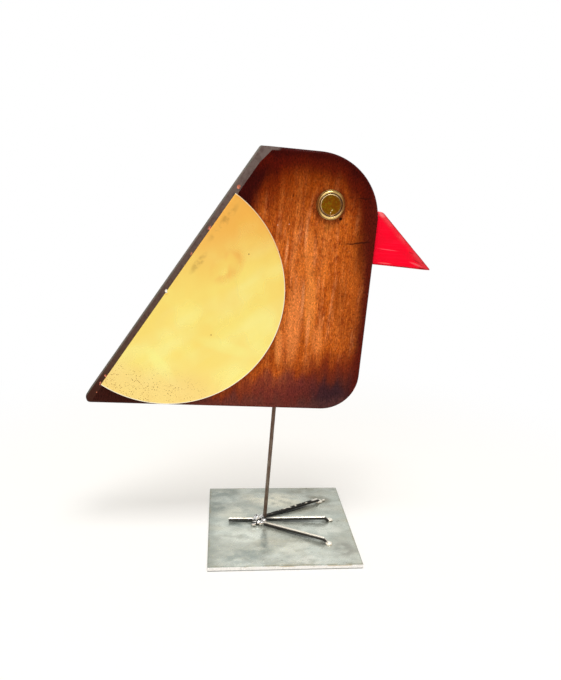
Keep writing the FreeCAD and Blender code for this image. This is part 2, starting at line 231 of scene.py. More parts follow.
# %% Wood grain
# darker bands and paler streaks: colour, strength, lower end, upper end (both x, z) and width, in mm
GROWTH_MARKS = (
    ("#7e2c06", 0.35, (-13, 118), (-9, 196), 22.0), ("#8c3e0c", 0.55, (43, 64), (42, 112), 15.0),
    ("#6e2c10", 0.25, (47, 56), (46, 82), 9.0), ("#8a3608", 0.15, (46, 98), (45, 190), 20.0),
    ("#f49446", 0.55, (21, 50), (18, 124), 13.0), ("#f09a50", 0.45, (-1, 30), (-3, 74), 8.0),
    ("#e07828", 0.40, (29, 98), (28, 124), 8.0), ("#d87024", 0.35, (53, 80), (52, 150), 11.0),
    ("#ea8a48", 0.60, (9, 28), (8, 112), 17.0), ("#e88742", 0.50, (29, 42), (27, 74), 12.0),
    ("#f0a067", 0.40, (14, 70), (13.5, 110), 3.6), ("#ea9058", 0.45, (20, 46), (19.5, 84), 4.4),
    ("#ef9c66", 0.40, (-2, 110), (-1.5, 138), 3.0), ("#ee9a60", 0.40, (11.5, 122), (12, 152), 3.0),
    ("#e98b4c", 0.20, (3, 96), (4, 150), 7.0), ("#f08c40", 0.50, (16, 96), (14, 152), 10.0),
    ("#c4601f", 0.40, (58, 60), (52, 124), 10.0), ("#e07c40", 0.45, (0, 36), (-1, 66), 9.0),
)
print(len(GROWTH_MARKS), "bands and streaks in the grain")


def grain(tree, place, push):
    """The orange-brown wood before it is shaded, and the height of its fibres."""
    sway = add(tree, "VectorMath", (push, (0.16, 0.16, 0)), operation="MULTIPLY")
    swayed = add(tree, "VectorMath", (place, sway), operation="ADD")
    height = add(tree, "SeparateXYZ", (place,), 2)
    fibres = patches(tree, swayed, (0.9, 0.9, 10), 0.44, 0.58, 5.5, 2)
    pores = patches(tree, swayed, (0.7, 0.7, 4.0), 0.60, 0.65, 14.2, 1)
    flecks = patches(tree, swayed, (1.5, 1.5, 4.5), 0.56, 0.63, 71.0, 2)
    wood = coats(
        tree, "#c4611c",
        ("#dd7a34", 0.80, patches(tree, swayed, (11, 11, 150), 0.38, 0.66, 3.1)),
        ("#a34609", 0.62, patches(tree, swayed, (2.8, 2.8, 60), 0.46, 0.62, 8.4, 4)),
        ("#e8925a", 0.42, patches(tree, swayed, (3.4, 3.4, 30), 0.54, 0.72, 21.7, 4)),
        ("#93430c", 0.55, patches(tree, place, (15, 15, 24), 0.48, 0.70, 40.3, 5)),
        ("#8f3408", 0.50, patches(tree, place, (4, 4, 4), 0.50, 0.68, 2.2, 5)),
        ("#e4854a", 0.30, patches(tree, place, (2.2, 2.2, 3), 0.55, 0.70, 61.0, 4)),
        ("#93310f", 0.48, (height, 14.0, 62.0)),
        ("#7a2c08", 0.26, fibres),
        ("#7d2603", 0.34, flecks),
        ("#4c1202", 0.36, pores),
    )
    for colour, strength, start, end, width in GROWTH_MARKS:
        wood = coats(tree, wood, (colour, strength, mark(tree, swayed, start, end, width)))
    relief = add(tree, "Math", (fibres, pores), operation="ADD")
    return wood, relief


# %% [markdown]
# The shading follows the board's outline. It is measured as the distance in from the back, from the head's
# corner and from the chin's corner, and the coordinates are first pushed about by a noise that is longer
# upright than across, so the dark edge runs unevenly into the grain, as sprayed toner and stain do.

# %% Edge shading
BROW = (58.0, 0, 172.0)                          # mm, the dark place above the beak
HALO = (27.2, 0, 160.6)                          # mm, the middle of the dark ring round the eye
CHIN, CHIN_REACH = (75.0, 0, -6.0), (86.0, 900.0, 62.0)    # mm, the dark oval at the chin, and its half sizes
FADE_FROM, FADE_TO, LEAST = 100.0, 132.0, 0.42   # mm up: the head's shading is whole above, this share below
print("the shading of the head fades between", FADE_TO, "and", FADE_FROM, "mm")


def shaded_edges(tree, wood, place, push):
    """Maroon and black toner from the edges inwards."""
    pushed = add(tree, "VectorMath", (place, push), operation="ADD")
    nudge = add(tree, "VectorMath", (push, (0.45, 0, 0.35)), operation="MULTIPLY")
    nudged = add(tree, "VectorMath", (place, nudge), operation="ADD")
    back = past_line(tree, pushed, NAPE, INTO_BOARD)
    crown = past_line(tree, nudged, Vector((0, 0, CROWN)), Vector((0, 0, -1)))
    eye_halo = from_axis(tree, nudged, HALO)
    head = inside_corner(tree, nudged, (BREAST - HEAD_ROUND, 0, CROWN - HEAD_ROUND), (1, 1), HEAD_ROUND)
    brow = add(tree, "VectorMath", (pushed, BROW), 1, operation="DISTANCE")
    chin = oval(tree, pushed, CHIN, (0, 0, 0), CHIN_REACH)
    foot = past_line(tree, pushed, Vector((0, 0, UNDERSIDE)), Vector((0, 0, 1)))
    breast = past_line(tree, nudged, Vector((BREAST, 0, 0)), Vector((-1, 0, 0)))
    forward = add(tree, "SeparateXYZ", (place,))
    high = add(tree, "MapRange", (forward.node.outputs[2], FADE_FROM, FADE_TO, LEAST, 1.0), **SOFT)
    return coats(
        tree, wood,
        ("#732900", 0.90, (crown, 9.0, 56.0)),
        ("#651a02", 0.85, (back, 18.0, 38.0)),
        ("#2f0505", 0.95, (back, 13.0, 24.0)),
        ("#5d1506", 0.70, (brow, 12.0, 31.0)),
        ("#4c0d04", 0.92, (head, 8.0, 22.0), high),
        ("#330605", 0.80, (head, 2.0, 9.0)),
        ("#541505", 0.60, (eye_halo, 11.2, 15.0)),
        ("#6b230f", 0.80, (foot, 8.0, 23.0)),
        ("#6e2410", 0.88, (chin, 0.74, 1.06)),
        ("#40201f", 0.90, (chin, 0.46, 0.86)),
        ("#2a1c26", 0.60, mark(tree, pushed, (22, 9), (62, 15), 30.0)),
        ("#5a2a2e", 0.50, mark(tree, pushed, (-42, 14), (44, 20), 30.0)),
        ("#553230", 0.60, (foot, 3.0, 14.0)),
        ("#2e110b", 0.88, (forward, -92.0, -48.0)),
        ("#52130a", 0.85, (breast, 3.0, 11.0)),
    )


# %% [markdown]
# Under the varnish the surface is never even: tiny pale and dark red specks lie all over it, where the stain
# sat on the fibres or sank between them. They are drawn after the shading, so the dark edges have them too.

# %% Specks in the stain
PALE_SPECK, DARK_SPECK = 1.42, 0.58              # times the wood's own tone
print("specks from", DARK_SPECK, "to", PALE_SPECK, "times the tone of the wood")


def speckled(tree, wood, place):
    """Pale and dark specks of about a millimetre, and a few crimson ones."""
    pale = patches(tree, place, (0.8, 0.8, 1.3), 0.50, 0.66, 51.0, 2)
    dark = patches(tree, place, (1.0, 1.0, 2.2), 0.48, 0.68, 83.0, 3)
    crimson = patches(tree, place, (1.1, 1.1, 3.2), 0.70, 0.74, 37.0, 2)
    lighter = add(tree, "MapRange", (pale, 0.0, 1.0, 1.0, PALE_SPECK))
    darker = add(tree, "MapRange", (dark, 0.0, 1.0, 1.0, DARK_SPECK))
    share = add(tree, "Math", (lighter, darker), operation="MULTIPLY")
    speckled_wood = add(tree, "VectorMath", {0: wood, 3: share}, operation="SCALE")
    return coats(tree, speckled_wood, ("#6e0a06", 0.60, crimson))


# %% [markdown]
# The bevel along the back was stained once more and rubbed dull; a painted sheen makes it grey, paler towards
# the top and darker towards the bottom, and its arris greenish grey. Then come the marks of use: a check that
# runs in from the breast, a shorter one above it, a nail hole and a smear below the eye with the eye's painted
# shadow in it, specks of dust, and a pale spot that fills the notch of the wing.

# %% Bevel and marks
NAIL_HOLE = (36.3, 0, 152.1)                     # mm
print("nail hole at", NAIL_HOLE, "and pale_spot in the notch at", [round(c, 1) for c in WING_CENTRE])


def worn_bevel_and_painted_sheen(tree, wood, place):
    """The wood with its dull back bevel and the rubbed arris along it, both greyed by a painted sheen."""
    edge = past_line(tree, place, NAPE, INTO_BOARD)
    height = add(tree, "SeparateXYZ", (place,), 2)
    high = add(tree, "MapRange", (height, 20.0, 190.0))
    rubbed = patches(tree, place, (3, 3, 3), 0.42, 0.66, 9.9)
    facing = add(tree, "VectorMath", (add(tree, "TexCoord", output=1),), operation="ABSOLUTE")
    facing = add(tree, "SeparateXYZ", (facing,), 1)
    turned_away = add(tree, "MapRange", (facing, 0.93, 0.97, 1.0, 0.0))
    near_back = add(tree, "MapRange", (edge, 10.0, 14.0, 1.0, 0.0), **SOFT)
    on_bevel = add(tree, "Math", (turned_away, near_back), operation="MULTIPLY")
    at_edge = add(tree, "MapRange", (edge, 0.3, 1.4, 1.0, 0.0), **SOFT)
    arris = add(tree, "Math", (at_edge, add(tree, "MapRange", (facing, 0.25, 0.5))), operation="MULTIPLY")
    # painted sheen: the bevel grey, paler towards the top and darker towards the bottom, and the arris greenish
    # grey; the rubbed patches are wear
    return coats(
        tree, wood,
        ("#523b31", 0.97, on_bevel),
        ("#675a56", 0.85, on_bevel, high),
        ("#3d2a26", 0.42, on_bevel, rubbed),
        ("#3a1911", 0.80, on_bevel, (height, 8.0, 30.0)),
        ("#6a7268", 0.60, arris),
        ("#b08c86", 0.25, arris, rubbed),
    )


def marks_of_use(tree, wood, place, push):
    """The marked wood, and how deep the marks are."""
    bent = add(tree, "VectorMath", (push, (0.0, 0, 0.12)), operation="MULTIPLY")
    bent = add(tree, "VectorMath", (place, bent), operation="ADD")
    check = mark(tree, bent, (36.0, 132.6), (67.0, 138.4), 1.8)
    dash = mark(tree, bent, (45.0, 167.6), (61.0, 168.6), 1.5)
    nail = add(tree, "MapRange", (from_axis(tree, place, NAIL_HOLE), 0.8, 1.5, 1.0, 0.0), **SOFT)
    marked = coats(
        # a pale spot that fills the notch of the wing
        tree, wood, ("#f6efe2", 0.95, (from_axis(tree, place, WING_CENTRE), 0.8, 1.6)),
        ("#2c0a05", 0.80, check), ("#2c0a05", 0.75, dash), ("#1a0503", 0.95, nail),
        # a smear below the eye, with the eye's painted shadow in it
        ("#6b4012", 0.45, mark(tree, place, (25.6, 142.0), (28.6, 148.5), 6.0)),
        ("#e6c2b4", 0.75, spots(tree, place, 8.0, 0.55, 0.16, 3.0)),
    )
    deep = add(tree, "Math", (check, nail), operation="ADD")
    return marked, deep


# %% [markdown]
# The steps are laid in the order in which they come about on such a board: grain, toner, specks, bevel, wear.
# One slow noise, stretched upright, pushes the grain and the shading about together, as a real board's do.
# The varnish is satin, a little duller in some places than in others.

# %% The mahogany finish
def mahogany_paint(tree, place):
    """Stained and shaded wood under satin varnish."""
    slow = add(tree, "Mapping", (place, (0, 0, 0), (0, 0, 0), (0.13, 0.13, 0.03)))
    wander = add(tree, "TexNoise", {"Vector": slow, "Scale": 1.0, "Detail": 4.0}, "Color")
    centred = add(tree, "VectorMath", (wander, (0.5, 0.5, 0.5)), operation="SUBTRACT")
    push = add(tree, "VectorMath", (centred, (17, 0, 30)), operation="MULTIPLY")
    wood, fibre_relief = grain(tree, place, push)
    wood = speckled(tree, shaded_edges(tree, wood, place, push), place)
    wood = worn_bevel_and_painted_sheen(tree, wood, place)
    wood, deep = marks_of_use(tree, wood, place, push)
    hollow = add(tree, "Math", (fibre_relief, -0.4), operation="MULTIPLY")
    relief = add(tree, "Math", (hollow, deep), operation="SUBTRACT")
    normal = add(tree, "Bump", {"Height": relief, "Strength": 0.35, "Distance": 0.15 * MM})
    gloss = add(tree, "MapRange", (patches(tree, place, (7, 7, 12), 0.35, 0.7, 33.0), 0.0, 1.0, 0.36, 0.50))
    return {"Base Color": wood, "Roughness": gloss, "Normal": normal, "IOR": 1.5, "Specular IOR Level": 0.03}


mahogany = finish("mahogany_stained_and_varnished", mahogany_paint)

# %% [markdown]
# ## Bare wood in the chips
# Where the arris was knocked, the stain is gone and pale pinkish wood shows. The chips are real hollows, so
# the cut faces get this second finish: dry, with short broken fibres.

# %% Bare wood
def bare_paint(tree, place):
    fibres = patches(tree, place, (0.5, 0.5, 2.5), 0.35, 0.65, 1.7)
    colour = coats(tree, "#e0937a", ("#c97453", 0.8, fibres),
                   ("#8e3f24", 0.8, patches(tree, place, (1.6, 1.6, 1.6), 0.5, 0.7, 6.1)))
    normal = add(tree, "Bump", {"Height": fibres, "Strength": 0.6, "Distance": 0.2 * MM})
    return {"Base Color": colour, "Roughness": 0.8, "Normal": normal, "IOR": 1.5, "Specular IOR Level": 0.2}


bare_wood = finish("mahogany_broken_bare", bare_paint)

# %% [markdown]
# ## From mesh to piece
# A CAD object is never changed, so a piece that needs more shape is made from a copy of its mesh, or built
# from nothing, and then stands for it. The steps are the same for all: put the mesh in the scene with its
# finishes, apply the modifiers, smooth what is round and keep what is flat, and hang the piece on its body.

# %% Helpers for pieces
def put_in_scene(name, mesh, *materials):
    """An object for a new mesh, with its finishes."""
    made = bpy.data.objects.new(name, mesh)
    bpy.context.scene.collection.objects.link(made)
    mesh.materials.clear()
    for material in materials:
        mesh.materials.append(material)
    return made


def meshed(name, work, turn_outwards=True):
    """A mesh from bmesh work; an open sheet keeps the way that its faces look."""
    if turn_outwards:
        bmesh.ops.recalc_face_normals(work, faces=work.faces)
    mesh = bpy.data.meshes.new(name)
    work.to_mesh(mesh)
    work.free()
    return mesh


def copied(node, name, *materials):
    """A copy of a CAD node's mesh, with its split corners joined."""
    work = bmesh.new()
    work.from_mesh(nodes[node].data)
    bmesh.ops.remove_doubles(work, verts=work.verts, dist=0.002 * MM)
    bmesh.ops.dissolve_degenerate(work, edges=work.edges, dist=0.0005 * MM)
    return put_in_scene(name, meshed(name, work), *materials)


def settle(piece, sharp=40, flat_from=15.0):
    """Applies the modifiers, and smooths the faces that meet at less than the sharp angle in degrees.

    A face of more than flat_from square mm stays flat."""
    depsgraph = bpy.context.evaluated_depsgraph_get()
    shaped = bpy.data.meshes.new_from_object(piece.evaluated_get(depsgraph), depsgraph=depsgraph)
    piece.modifiers.clear()
    piece.data = shaped
    shaped.shade_smooth()
    shaped.set_sharp_from_angle(angle=math.radians(sharp))
    for face in shaped.polygons:
        if face.area > flat_from * MM * MM:
            face.use_smooth = False


def join_frame(piece, body, slot, *replaced):
    """The piece rides on its body and stands for its CAD nodes; slot is not used."""
    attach(piece, body)
    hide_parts(*replaced)
    print(piece.name, "replaces", ", ".join(replaced), "faces:", len(piece.data.polygons))


# %% [markdown]
# ## The board, with chips knocked out of it
# The CAD board has the right outline, bevel and rounding. A real one has been knocked a few times. Sculpting
# would lose the crisp sawn faces, so small rough lumps are cut from a copy instead, each where the arris is
# most exposed. The cut faces keep the second finish.

# %% The chips
# along the back from the nape, side, how far out of the bevel the lump's centre is, half sizes, all in mm
BACK_CHIPS = (
    (33.0, -1, 0.35, (1.9, 1.2, 1.6)), (69.5, -1, 0.15, (1.3, 1.0, 1.9)), (93.0, -1, 0.05, (0.7, 0.5, 1.8)),
    (209.0, -1, 0.1, (1.9, 0.9, 0.9)), (216.5, -1, 0.1, (0.8, 0.7, 2.1)),
    (51.0, 1, 0.3, (1.5, 1.1, 1.5)), (148.0, 1, 0.2, (1.2, 0.8, 2.2)),
)
# centre in the board's frame, half sizes, all in mm
CORNER_CHIPS = (
    ((62.2, 1.2 - FACE, 19.2), (0.9, 0.9, 2.3)),
    ((-140.5, 0.2 - FACE, 6.6), (1.3, 0.7, 0.9)),
    ((49.0, FACE - 0.9, 188.0), (2.1, 0.8, 0.9)),
)
ARRIS_IN, ARRIS_DOWN = 0.62, 0.38                # where the rounded arris lies, as shares of the bevel


def lump(centre, size, seed):
    """A rough lump to cut with, in the board's frame."""
    work = bmesh.new()
    bmesh.ops.create_icosphere(work, subdivisions=3, radius=1.0)
    for vert in work.verts:
        rough = 1 + 0.30 * noise.noise(vert.co * 1.3 + Vector((seed, 0, 0)))
        vert.co = TO_WORLD @ (Vector(centre) + Vector(c * s for c, s in zip(vert.co, size)) * rough)
    return put_in_scene("lump", meshed("lump", work), bare_wood)


board = copied("body_board", "board_chipped", mahogany, bare_wood)
lumps = [lump(centre, size, 60 + 5 * index) for index, (centre, size) in enumerate(CORNER_CHIPS)]
for index, (along, side, out, size) in enumerate(BACK_CHIPS):
    arris = NAPE + DOWN_BACK * along + INTO_BOARD * (BEVEL_WIDTH * ARRIS_IN)
    arris.y = side * (FACE - BEVEL_DEPTH * ARRIS_DOWN + out)
    lumps.append(lump(arris, size, 7 * index))
for cutter in lumps:
    cut = board.modifiers.new(cutter.name, "BOOLEAN")
    cut.object, cut.solver, cut.material_mode = cutter, "EXACT", "TRANSFER"
settle(board, 32)
for face in board.data.polygons:     # the cutting leaves slivers of the sawn faces, which stay flat as well
    if abs(face.normal.y) > 0.9999:
        face.use_smooth = False
for cutter in lumps:
    bpy.data.objects.remove(cutter)
join_frame(board, "bird", "stained_wood", "body_board")

# %% [markdown]
# ## Buffed brass sheet
# The wings are brass sheet 1 mm thick, buffed and lacquered, never quite flat, with clouds where hands have
# touched them. Metal has no colour of its own but what it does to the room's reflection, so the base is a
# bright yellow. Pale streaks show where it was wiped. A painted reflection makes it warmer towards the top;
# one orange cloud and two olive smudges lie near the upper edge, and there are brown specks where the lacquer
# has failed at the tail end. The sheared rim is bare, and painted nearly white as a highlight.

# %% Buffed brass
WING_R, WING_THICK, WING_HOLE = 89.0, 1.0, 1.0   # mm, the disc's radius, the sheet and the centre hole's radius
WIPED_AT = math.radians(38)                      # the way that the cloth went


def buffed_paint(tree, place):
    """Clouded, wiped and specked brass sheet, with a painted reflection warmer at the top and a painted
    highlight on the rim.
    """
    along = past_line(tree, place, WING_CENTRE, DOWN_BACK)
    out = from_axis(tree, place, WING_CENTRE)
    to_top = past_line(tree, place, WING_CENTRE, (DOWN_BACK + INTO_BOARD).normalized())
    upper = (to_top, -48.0, 6.0)
    near_rim = (out, 76.0, 52.0)
    clouds = patches(tree, place, (30, 60, 34), 0.40, 0.66, 4.4, 2)
    tilted = add(tree, "Mapping", (place, (0, 0, 0), (0, WIPED_AT, 0), (1, 1, 1)))
    wiped = patches(tree, tilted, (60, 60, 18), 0.40, 0.70, 17.0, 2)
    failed = patches(tree, place, (8, 8, 7), 0.38, 0.56, 31.0)
    smudge = patches(tree, place, (5, 30, 5), 0.38, 0.62, 12.8, 3)
    warm = patches(tree, place, (14, 30, 16), 0.34, 0.62, 21.0, 2)
    specks = spots(tree, place, 1.2, 0.40, 0.62, 1.0)
    colour = coats(
        tree, "#ffec80",
        ("#fff7a0", 0.45, wiped),
        ("#ffdb70", 0.35, clouds),
        # painted reflection: warmer towards the top
        ("#ffc85e", 0.62, upper),
        ("#f9b454", 0.32, upper, clouds),
        ("#f2a24c", 0.50, warm, mark(tree, place, (-34.0, 128.0), (-56.0, 96.0), 26.0)),
        ("#fff994", 0.60, mark(tree, place, (-106.0, 50.0), (-74.0, 8.0), 13.0)),
        ("#fff894", 0.45, mark(tree, place, (-72.0, 56.0), (-16.0, 42.0), 14.0)),
        ("#fbd68c", 0.60, (along, 58.0, 22.0), near_rim),
        ("#a88a46", 0.45, smudge, mark(tree, place, (-38.0, 160.0), (-62.0, 126.0), 8.0)),
        ("#a88a46", 0.40, smudge, mark(tree, place, (-60.0, 122.0), (-74.0, 102.0), 7.0)),
        ("#7a4618", 0.88, specks, (along, 62.0, 38.0), near_rim, failed),
        ("#96682c", 0.70, spots(tree, place, 26.0, 0.7, 0.14, 5.0)),
        # painted highlight: the sheared rim nearly white
        ("#fff6dc", 0.95, (out, WING_R - 0.35, WING_R - 0.75)),
    )
    brushing = patches(tree, place, (1.2, 1.2, 26), 0.3, 0.7, 2.0, 2)
    rough = add(tree, "MapRange", (clouds, 0.0, 1.0, 0.25, 0.33))
    normal = add(tree, "Bump", {"Height": brushing, "Strength": 0.03, "Distance": 0.05 * MM})
    return {"Base Color": colour, "Metallic": 1.0, "Roughness": rough, "Normal": normal}


buffed_brass = finish("brass_sheet_buffed_and_lacquered", buffed_paint)

# %% [markdown]
# ## The wings
# Each wing is half of a disc, cut on a line through its centre, so half of the centre hole is left as a
# notch. A flat plate would reflect the room too evenly. The sheet is built as a polar grid round the old
# centre, which gives the notch for nothing, then given slow waves of a tenth of a millimetre, thickened,
# and its sheared edge rounded.

# %% The wings
SLOW_WAVE, RIPPLE = (0.08, 38), (0.02, 14)       # height and length of the sheet's waves, in mm
WAVE_ROOM = 0.1                                  # mm, so that no wave stands above the CAD's face
WING_GAP = 0.12                                  # mm, by which the sheet is thinner than the CAD's


def wing(name, side, seed, rings=44, steps=132):
    """Half a disc of sheet on one face; side is -1 for right and 1 for left."""
    work = bmesh.new()
    rows = []
    for ring in range(rings + 1):
        radius = WING_HOLE + (WING_R - WING_HOLE) * ring / rings
        rows.append([])
        for step in range(steps + 1):
            turn = math.pi * step / steps
            point = WING_CENTRE + (DOWN_BACK * math.cos(turn) + INTO_BOARD * math.sin(turn)) * radius
            wave = (SLOW_WAVE[0] * noise.noise(point / SLOW_WAVE[1] + Vector((seed, 0, 0)))
                    + RIPPLE[0] * noise.noise(point / RIPPLE[1]))
            point.y = side * (FACE + WING_THICK - WAVE_ROOM + wave)
            rows[-1].append(work.verts.new(TO_WORLD @ point))
    for inner, outer in zip(rows, rows[1:]):
        for step in range(steps):
            corners = (inner[step], inner[step + 1], outer[step + 1], outer[step])
            work.faces.new(corners if side < 0 else corners[::-1])
    made = put_in_scene(name, meshed(name, work, turn_outwards=False), buffed_brass)
    sheet = made.modifiers.new("sheet", "SOLIDIFY")
    sheet.thickness, sheet.offset = (WING_THICK - WING_GAP) * MM, -1
    edge = made.modifiers.new("sheared_edge", "BEVEL")
    edge.width, edge.segments = 0.3 * MM, 3
    edge.limit_method, edge.angle_limit = "ANGLE", math.radians(50)
    settle(made)
    facing = sum(face.normal.y * face.area for face in made.data.polygons
                 if abs(face.center.y - SOCKET.y) > (FACE + 0.7) * MM)
    print(name, "outer faces look towards", "right" if facing < 0 else "left")
    return made


for side, word in ((-1, "right"), (1, "left")):
    join_frame(wing("wing_sheet_" + word, side, 20.0 + 15 * side), "bird", "wing_brass", "wing_" + word)

# %% [markdown]
# ## Turned brass, polished and tarnished
# The eyes are brass buttons. The ring was polished on a wheel, so its gloss is sharp. Its flange is olive,
# with painted shade on its top; painted shade darkens the ring's upper right, and a painted dark reflection
# its left and right sides. Its groove is dark brown and matt. The disc in the middle has tarnished to olive
# brown and hardly reflects, but for two bright scratches; painted shade darkens its rim at the lower right.

# %% Eye brasses
EYE = Vector((27.7, 0, 161.7))


def polished_paint(tree, place):
    """The bright ring, its olive flange and dark matt groove, with painted shade on its top, upper right and
    sides.
    """
    out = from_axis(tree, place, EYE)
    flange = add(tree, "MapRange", (out, 9.8, 10.3), **SOFT)
    groove = add(tree, "MapRange", (out, 8.5, 9.1, 1.0, 0.0), **SOFT)
    off_centre = add(tree, "VectorMath", (place, EYE), operation="SUBTRACT")
    aside = add(tree, "SeparateXYZ", (add(tree, "VectorMath", (off_centre,), operation="ABSOLUTE"),))
    high_right = past_line(tree, place, EYE, Vector((1, 0, 1)).normalized())
    upwards = past_line(tree, place, EYE, Vector((0, 0, 1)))
    colour = coats(tree, "#f8d98e",
                   ("#cba968", 0.5, patches(tree, place, (3, 3, 3), 0.4, 0.7, 7.0)),
                   # the second coat here is painted shade on the top of the flange
                   ("#84602e", 0.78, flange), ("#5e4018", 0.70, flange, (upwards, 10.0, 7.0)),
                   ("#d8b988", 0.35, flange, patches(tree, place, (3, 3, 3), 0.45, 0.62, 3.3)),
                   # painted shade at the upper right, then a painted dark reflection on the left and right
                   # sides
                   ("#8f6e38", 0.60, (high_right, 8.0, 3.0)),
                   ("#774216", 0.80, (aside, 9.0, 5.0)),
                   ("#5c3010", 0.9, groove))
    rough = add(tree, "MapRange", (flange, 0.0, 1.0, 0.24, 0.50))
    metal = add(tree, "Math", (1.0, groove), operation="SUBTRACT")
    return {"Base Color": colour, "Metallic": metal, "Roughness": rough}


def tarnished_paint(tree, place):
    """The dull disc, with its fine bright rim, darker at the lower right as painted shade, and two scratches.
    """
    bright = add(tree, "MapRange", (from_axis(tree, place, EYE), 7.1, 7.35), **SOFT)
    low_right = past_line(tree, place, EYE, Vector((1, 0, -1)).normalized())
    colour = coats(
        tree, "#805400",
        ("#6f3400", 0.70, patches(tree, place, (5, 5, 5), 0.40, 0.62, 11.0, 4)),
        ("#7c6a0c", 0.55, patches(tree, place, (2, 2, 2), 0.48, 0.66, 5.0, 4)),
        ("#4e2800", 0.40, patches(tree, place, (1, 1, 1), 0.50, 0.66, 9.0, 3)),
        ("#f0d49a", 0.95, mark(tree, place, (EYE.x + 0.7, EYE.z - 4.6), (EYE.x + 1.7, EYE.z - 3.0), 0.8)),
        ("#f6e2b4", 0.95, mark(tree, place, (EYE.x + 0.1, EYE.z - 6.2), (EYE.x + 0.5, EYE.z - 4.9), 0.7)),
        ("#f0d6a2", 1.00, bright),
        # painted shade: the rim darker at the lower right
        ("#6e3c12", 0.85, bright, (low_right, 2.0, -5.0)),
    )
    metal = add(tree, "MapRange", (bright, 0.0, 1.0, 0.15, 1.0))
    rough = add(tree, "MapRange", (bright, 0.0, 1.0, 0.50, 0.20))
    return {"Base Color": colour, "Metallic": metal, "Roughness": rough, "Specular IOR Level": 0.05}


polished_brass = finish("brass_turned_and_polished", polished_paint)
tarnished_brass = finish("brass_turned_and_tarnished", tarnished_paint)

# %% [markdown]
# ## The eyes
# A lathe makes round things from a profile, and so does this mesh: a list of (radius, height) points in
# millimetres, swept round the eye's centre, with arcs where the metal is rounded. From the outside in there
# is a low sloping flange, a broad bead, a deep groove, the stud's fine rim and its dished face. The rings
# were pressed a little oval, so outside the stud the sweep grows narrower than it is high.

# %% The eyes
EYE_OVAL, ROUND_TO, EYE_R = 0.97, 7.6, 12.0      # width for height at EYE_R mm; round as far as ROUND_TO mm


def arc(radius, height, size, start, end, steps=10):
    """Profile points round a circle, from one angle to the other, in degrees."""
    angles = [math.radians(start + (end - start) * i / steps) for i in range(steps + 1)]
    return [(radius + size * math.cos(a), height + size * math.sin(a)) for a in angles]


RING_PROFILE = (
    [(5.2, 0.7), (8.4, 0.7), (8.45, 1.6)]
    + arc(9.30, 1.95, 0.88, 170, 12, 20)
    + [(10.2, 1.8), (10.3, 1.30)]
    + arc(10.55, 0.85, 0.45, 110, 0, 10)
    + [(11.05, 0.0)]
)
STUD_PROFILE = (
    [(0.0, 1.55), (2.4, 1.56), (5.2, 1.60), (6.9, 1.66), (7.25, 1.78), (7.35, 2.05)]
    + arc(7.65, 2.14, 0.30, 165, 0, 10)
    + [(7.96, 1.2), (7.96, 0.75), (5.0, 0.75)]
)


def turned(name, profile, side, material, steps=120):
    """Sweeps the profile round the eye's centre on one face of the board."""
    work = bmesh.new()
    loops = []
    for radius, height in profile:
        loop = []
        squeeze = 1 - (1 - EYE_OVAL) * max(0.0, radius - ROUND_TO) / (EYE_R - ROUND_TO)
        for step in range(1 if radius == 0 else steps):
            turn = 2 * math.pi * step / steps
            way = Vector((squeeze * math.cos(turn), 0, math.sin(turn)))
            point = EYE + way * radius + Vector((0, side * (FACE + height), 0))
            loop.append(work.verts.new(TO_WORLD @ point))
        loops.append(loop)
    for inner, outer in zip(loops, loops[1:]):
        for step in range(steps):
            after = (step + 1) % steps
            corners = (inner[0], outer[step], outer[after]) if len(inner) == 1 else (
                inner[step], outer[step], outer[after], inner[after])
            work.faces.new(corners if side < 0 else corners[::-1])
    made = put_in_scene(name, meshed(name, work, turn_outwards=False), material)
    settle(made, 42)
    return made


for side, word in ((-1, "right"), (1, "left")):
    ring = turned("eye_turning_" + word, RING_PROFILE, side, polished_brass)
    join_frame(ring, "bird", "eye_brass", "eye_ring_" + word)
    centre = turned("eye_centre_" + word, STUD_PROFILE, side, tarnished_brass)
    join_frame(centre, "bird", "eye_centre", "eye_stud_" + word)

# %% [markdown]
# ## Brushed red enamel
# The beak is wood under one thick coat of red enamel, put on with a small brush from the root to the tip.
# It has worn thin and pinkish along its slope and darker at the tip, and a painted highlight lies at the top
# of its root. The brush left level ridges about 1 mm apart, and one of them is pale.

# %% Red enamel
BEAK_TIP = Vector((BREAST + 48.0, 0, 117.9))
BEAK_BROW = Vector((BREAST + 4.6, 0, 159.2))
BEAK_ROOT_LOW = Vector((BREAST, 0, 119.6))


